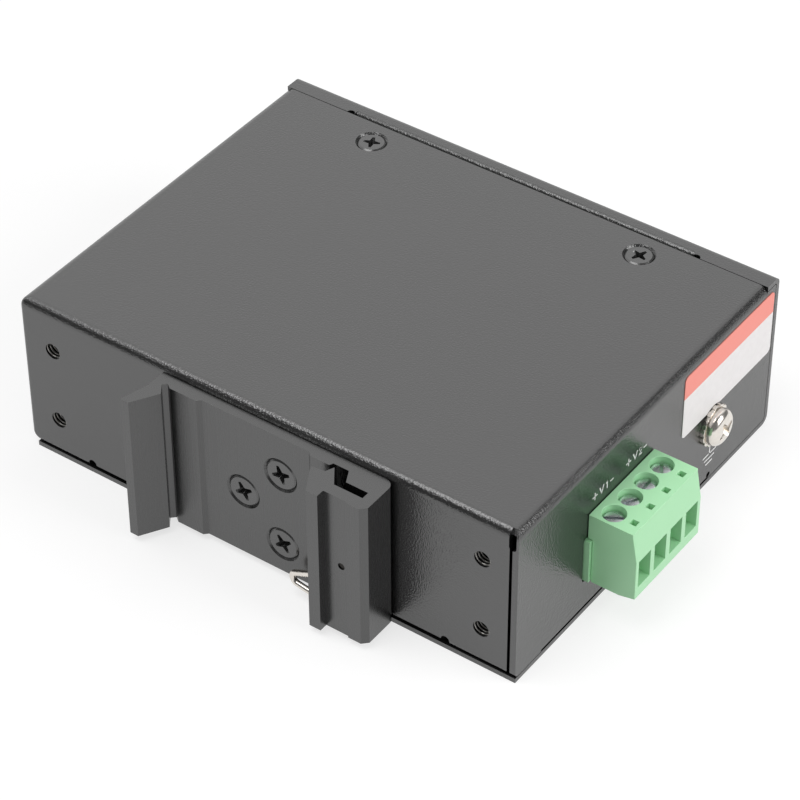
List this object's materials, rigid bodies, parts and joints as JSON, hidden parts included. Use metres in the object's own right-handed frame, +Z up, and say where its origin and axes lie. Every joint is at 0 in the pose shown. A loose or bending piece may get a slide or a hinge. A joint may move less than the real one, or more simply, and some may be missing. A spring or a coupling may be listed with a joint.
{
  "type": "poe splitter",
  "caption": "Slim folded-steel case with a rail clip on its back, network sockets in its front panel and a plug-in power terminal block on its side.",
  "frame": {"origin": "middle of the case's underside", "axes": "+X to the power terminals, +Y to the front panel with the network sockets, +Z up from the flat underside"},
  "size_m": [0.118, 0.0942, 0.0345],
  "materials": {
    "black_coat": "satin powder coat",
    "black_screw": "black zinc",
    "black_anodised": "black anodised",
    "nickel": "nickel plated",
    "zinc": "zinc plated",
    "label": "printed film",
    "green_housing": "moulded polyamide",
    "tin": "tin plated",
    "board": "solder mask",
    "black_moulding": "moulded",
    "gold": "gold plated",
    "lamp": "clear",
    "ferrite": "matt",
    "winding": "tape",
    "can": "sleeved"
  },
  "bodies": {
    "housing": {"cover": "black_coat", "base_tray": "black_coat", "cover_screws": "black_screw", "din_clip": "black_anodised", "clip_screws": "black_screw", "clip_spring_wire": "nickel", "ground_screw": "nickel", "ground_washer": "nickel", "ground_nut": "zinc", "side_label": "label", "terminal_header": "green_housing", "header_pins": "tin", "circuit_board": "board", "board_standoffs": "zinc", "board_screws": "zinc", "status_lamps": "lamp", "lamp_holders": "black_moulding", "rectifier_bridges": "black_moulding", "input_capacitors": "can", "output_capacitors": "can", "transformer_core": "ferrite", "transformer_winding": "winding", "switching_chips": "black_moulding", "chip_components": "ferrite", "jack_shield_1": "nickel", "jack_insert_1": "black_moulding", "jack_contacts_1": "gold", "line_transformer_1": "black_moulding", "output_choke_1": "ferrite", "jack_shield_2": "nickel", "jack_insert_2": "black_moulding", "jack_contacts_2": "gold", "line_transformer_2": "black_moulding", "output_choke_2": "ferrite"},
    "plug": {"terminal_plug": "green_housing", "plug_contacts": "tin"},
    "clamp_screw_1": {"clamp_screw_1": "zinc"},
    "clamp_cage_1": {"clamp_cage_1": "zinc"},
    "clamp_screw_2": {"clamp_screw_2": "zinc"},
    "clamp_cage_2": {"clamp_cage_2": "zinc"},
    "clamp_screw_3": {"clamp_screw_3": "zinc"},
    "clamp_cage_3": {"clamp_cage_3": "zinc"},
    "clamp_screw_4": {"clamp_screw_4": "zinc"},
    "clamp_cage_4": {"clamp_cage_4": "zinc"}
  },
  "joints": [
    {"name": "plug_pull", "type": "slide", "parent": "housing", "child": "plug", "axis": [1, 0, 0], "range_m": [0, 0.0095]},
    {"name": "clamp_turn_1", "type": "hinge", "parent": "plug", "child": "clamp_screw_1", "pos_m": [0.0574, -0.01762, 0.02], "axis": [0, 0, 1], "range_deg": [-1800, 0]},
    {"name": "cage_rise_1", "type": "slide", "parent": "plug", "child": "clamp_cage_1", "axis": [0, 0, 1], "range_m": [0, 0.0025]},
    {"name": "clamp_turn_2", "type": "hinge", "parent": "plug", "child": "clamp_screw_2", "pos_m": [0.0574, -0.01254, 0.02], "axis": [0, 0, 1], "range_deg": [-1800, 0]},
    {"name": "cage_rise_2", "type": "slide", "parent": "plug", "child": "clamp_cage_2", "axis": [0, 0, 1], "range_m": [0, 0.0025]},
    {"name": "clamp_turn_3", "type": "hinge", "parent": "plug", "child": "clamp_screw_3", "pos_m": [0.0574, -0.00746, 0.02], "axis": [0, 0, 1], "range_deg": [-1800, 0]},
    {"name": "cage_rise_3", "type": "slide", "parent": "plug", "child": "clamp_cage_3", "axis": [0, 0, 1], "range_m": [0, 0.0025]},
    {"name": "clamp_turn_4", "type": "hinge", "parent": "plug", "child": "clamp_screw_4", "pos_m": [0.0574, -0.00238, 0.02], "axis": [0, 0, 1], "range_deg": [-1800, 0]},
    {"name": "cage_rise_4", "type": "slide", "parent": "plug", "child": "clamp_cage_4", "axis": [0, 0, 1], "range_m": [0, 0.0025]}
  ],
  "couplings": [
    {"joint": "clamp_turn_1", "follows": "cage_rise_1", "rad_per_m": -12566},
    {"joint": "clamp_turn_2", "follows": "cage_rise_2", "rad_per_m": -12566},
    {"joint": "clamp_turn_3", "follows": "cage_rise_3", "rad_per_m": -12566},
    {"joint": "clamp_turn_4", "follows": "cage_rise_4", "rad_per_m": -12566}
  ]
}
